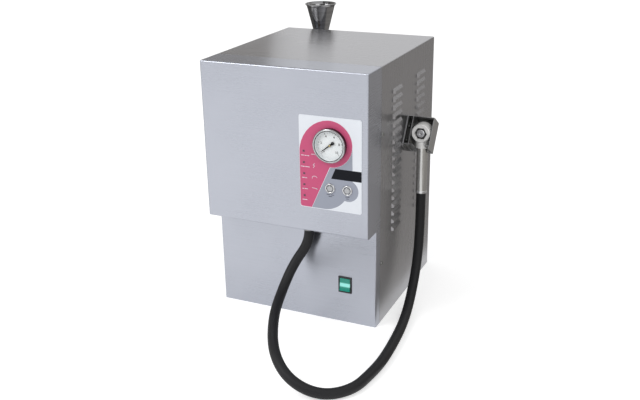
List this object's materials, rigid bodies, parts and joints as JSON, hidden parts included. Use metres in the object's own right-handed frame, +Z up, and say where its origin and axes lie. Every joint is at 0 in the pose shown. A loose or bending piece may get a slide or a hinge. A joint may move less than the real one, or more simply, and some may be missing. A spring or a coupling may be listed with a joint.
{
  "type": "jewelry steam cleaner",
  "caption": "Bench steam cleaner: louvered steel cabinet with a boiler, an overhanging control head, a pressure gauge, a filling funnel and a steam handpiece on a hose.",
  "frame": {"origin": "centre of the flat underside that the cabinet stands on", "axes": "+X to the right as seen from the front, +Y towards the back panel, +Z up"},
  "size_m": [0.4266, 0.7096, 0.584],
  "materials": {
    "sheet_steel": "brushed",
    "holder_steel": "dark brushed",
    "screw_steel": "polished",
    "overlay_film": "satin print in white, pink, grey and black",
    "gauge_chrome": "polished",
    "gauge_black": "black enamel",
    "dial_white": "satin white",
    "needle_black": "black",
    "gauge_glass": "clear",
    "valve_brass": "turned",
    "gland_steel": "turned",
    "ball_chrome": "polished",
    "lever_red": "painted",
    "button_chrome": "polished",
    "switch_black": "moulded",
    "lamp_lens": "dark, unlit",
    "board_green": "lacquered board",
    "rocker_green": "tinted",
    "hose_rubber": "smooth",
    "handpiece_chrome": "polished",
    "nozzle_steel": "turned",
    "funnel_steel": "spun and polished",
    "pipe_steel": "drawn",
    "boiler_steel": "welded",
    "element_steel": "dark sheath",
    "plate_zinc": "zinc plated",
    "device_grey": "moulded",
    "pin_brass": "plated"
  },
  "bodies": {
    "cabinet": {"head_fascia": "sheet_steel", "lower_front_panel": "sheet_steel", "cover_shell": "sheet_steel", "back_panel": "sheet_steel", "base_pan": "sheet_steel", "holder_bracket": "holder_steel", "cover_screws": "screw_steel", "holder_screws": "screw_steel", "control_overlay": "overlay_film", "gauge_bezel": "gauge_chrome", "gauge_case": "gauge_black", "gauge_dial": "dial_white", "gauge_lens": "gauge_glass", "gauge_stem": "valve_brass", "steam_solenoid": "valve_brass", "fill_valve_body": "valve_brass", "drain_valve_body": "valve_brass", "drain_spigot": "valve_brass", "safety_valve": "valve_brass", "hose_gland": "gland_steel", "left_button_bezel": "button_chrome", "right_button_bezel": "button_chrome", "left_button_switch": "switch_black", "right_button_switch": "switch_black", "solenoid_coil": "switch_black", "pressure_switch": "switch_black", "rocker_frame": "switch_black", "power_inlet": "switch_black", "status_leds": "lamp_lens", "lamp_board": "board_green", "steam_hose": "hose_rubber", "fill_funnel": "funnel_steel", "steam_pipe": "pipe_steel", "gauge_pipe": "pipe_steel", "fill_pipe": "pipe_steel", "fill_elbow": "pipe_steel", "drain_pipe": "pipe_steel", "boiler_shell": "boiler_steel", "boiler_stand": "boiler_steel", "heater_flange": "boiler_steel", "level_probe": "boiler_steel", "heating_element": "element_steel", "electrics_plate": "plate_zinc", "contactor": "device_grey", "terminal_block": "device_grey", "inlet_pins": "pin_brass"},
    "left_button": {"left_button_cap": "button_chrome"},
    "right_button": {"right_button_cap": "button_chrome"},
    "rocker": {"rocker_actuator": "rocker_green"},
    "needle": {"gauge_needle": "needle_black"},
    "handpiece": {"nozzle_head": "handpiece_chrome", "nozzle_insert": "nozzle_steel", "handpiece_tube": "handpiece_chrome", "hose_ferrule": "handpiece_chrome"},
    "fill_handle": {"fill_valve_lever": "lever_red", "fill_valve_ball": "ball_chrome"},
    "drain_handle": {"drain_valve_lever": "lever_red", "drain_valve_ball": "ball_chrome"}
  },
  "joints": [
    {"name": "left_button", "type": "slide", "parent": "cabinet", "child": "left_button", "axis": [0, 1, 0], "range_m": [0, 0.0025], "stiffness_N_per_m": 600, "springref_m": -0.001},
    {"name": "right_button", "type": "slide", "parent": "cabinet", "child": "right_button", "axis": [0, 1, 0], "range_m": [0, 0.0025], "stiffness_N_per_m": 600, "springref_m": -0.001},
    {"name": "rocker", "type": "hinge", "parent": "cabinet", "child": "rocker", "pos_m": [0.1084, -0.168, 0.0845], "axis": [1, 0, 0], "range_deg": [0, 14]},
    {"name": "gauge_needle", "type": "hinge", "parent": "cabinet", "child": "needle", "pos_m": [0.0996, -0.22, 0.3925], "axis": [0, 1, 0], "range_deg": [0, 264], "stiffness_Nm_per_rad": 0.0004, "springref_deg": -17.19},
    {"name": "handpiece", "type": "slide", "parent": "cabinet", "child": "handpiece", "axis": [0, -0.8387, 0.5446], "range_m": [0, 0.08]},
    {"name": "fill_valve", "type": "hinge", "parent": "cabinet", "child": "fill_handle", "pos_m": [-0.109, 0.21, 0.48], "axis": [0, 1, 0], "range_deg": [0, 90]},
    {"name": "drain_valve", "type": "hinge", "parent": "cabinet", "child": "drain_handle", "pos_m": [-0.01, 0.192, 0.04], "axis": [0, 0, 1], "range_deg": [0, 90]}
  ]
}
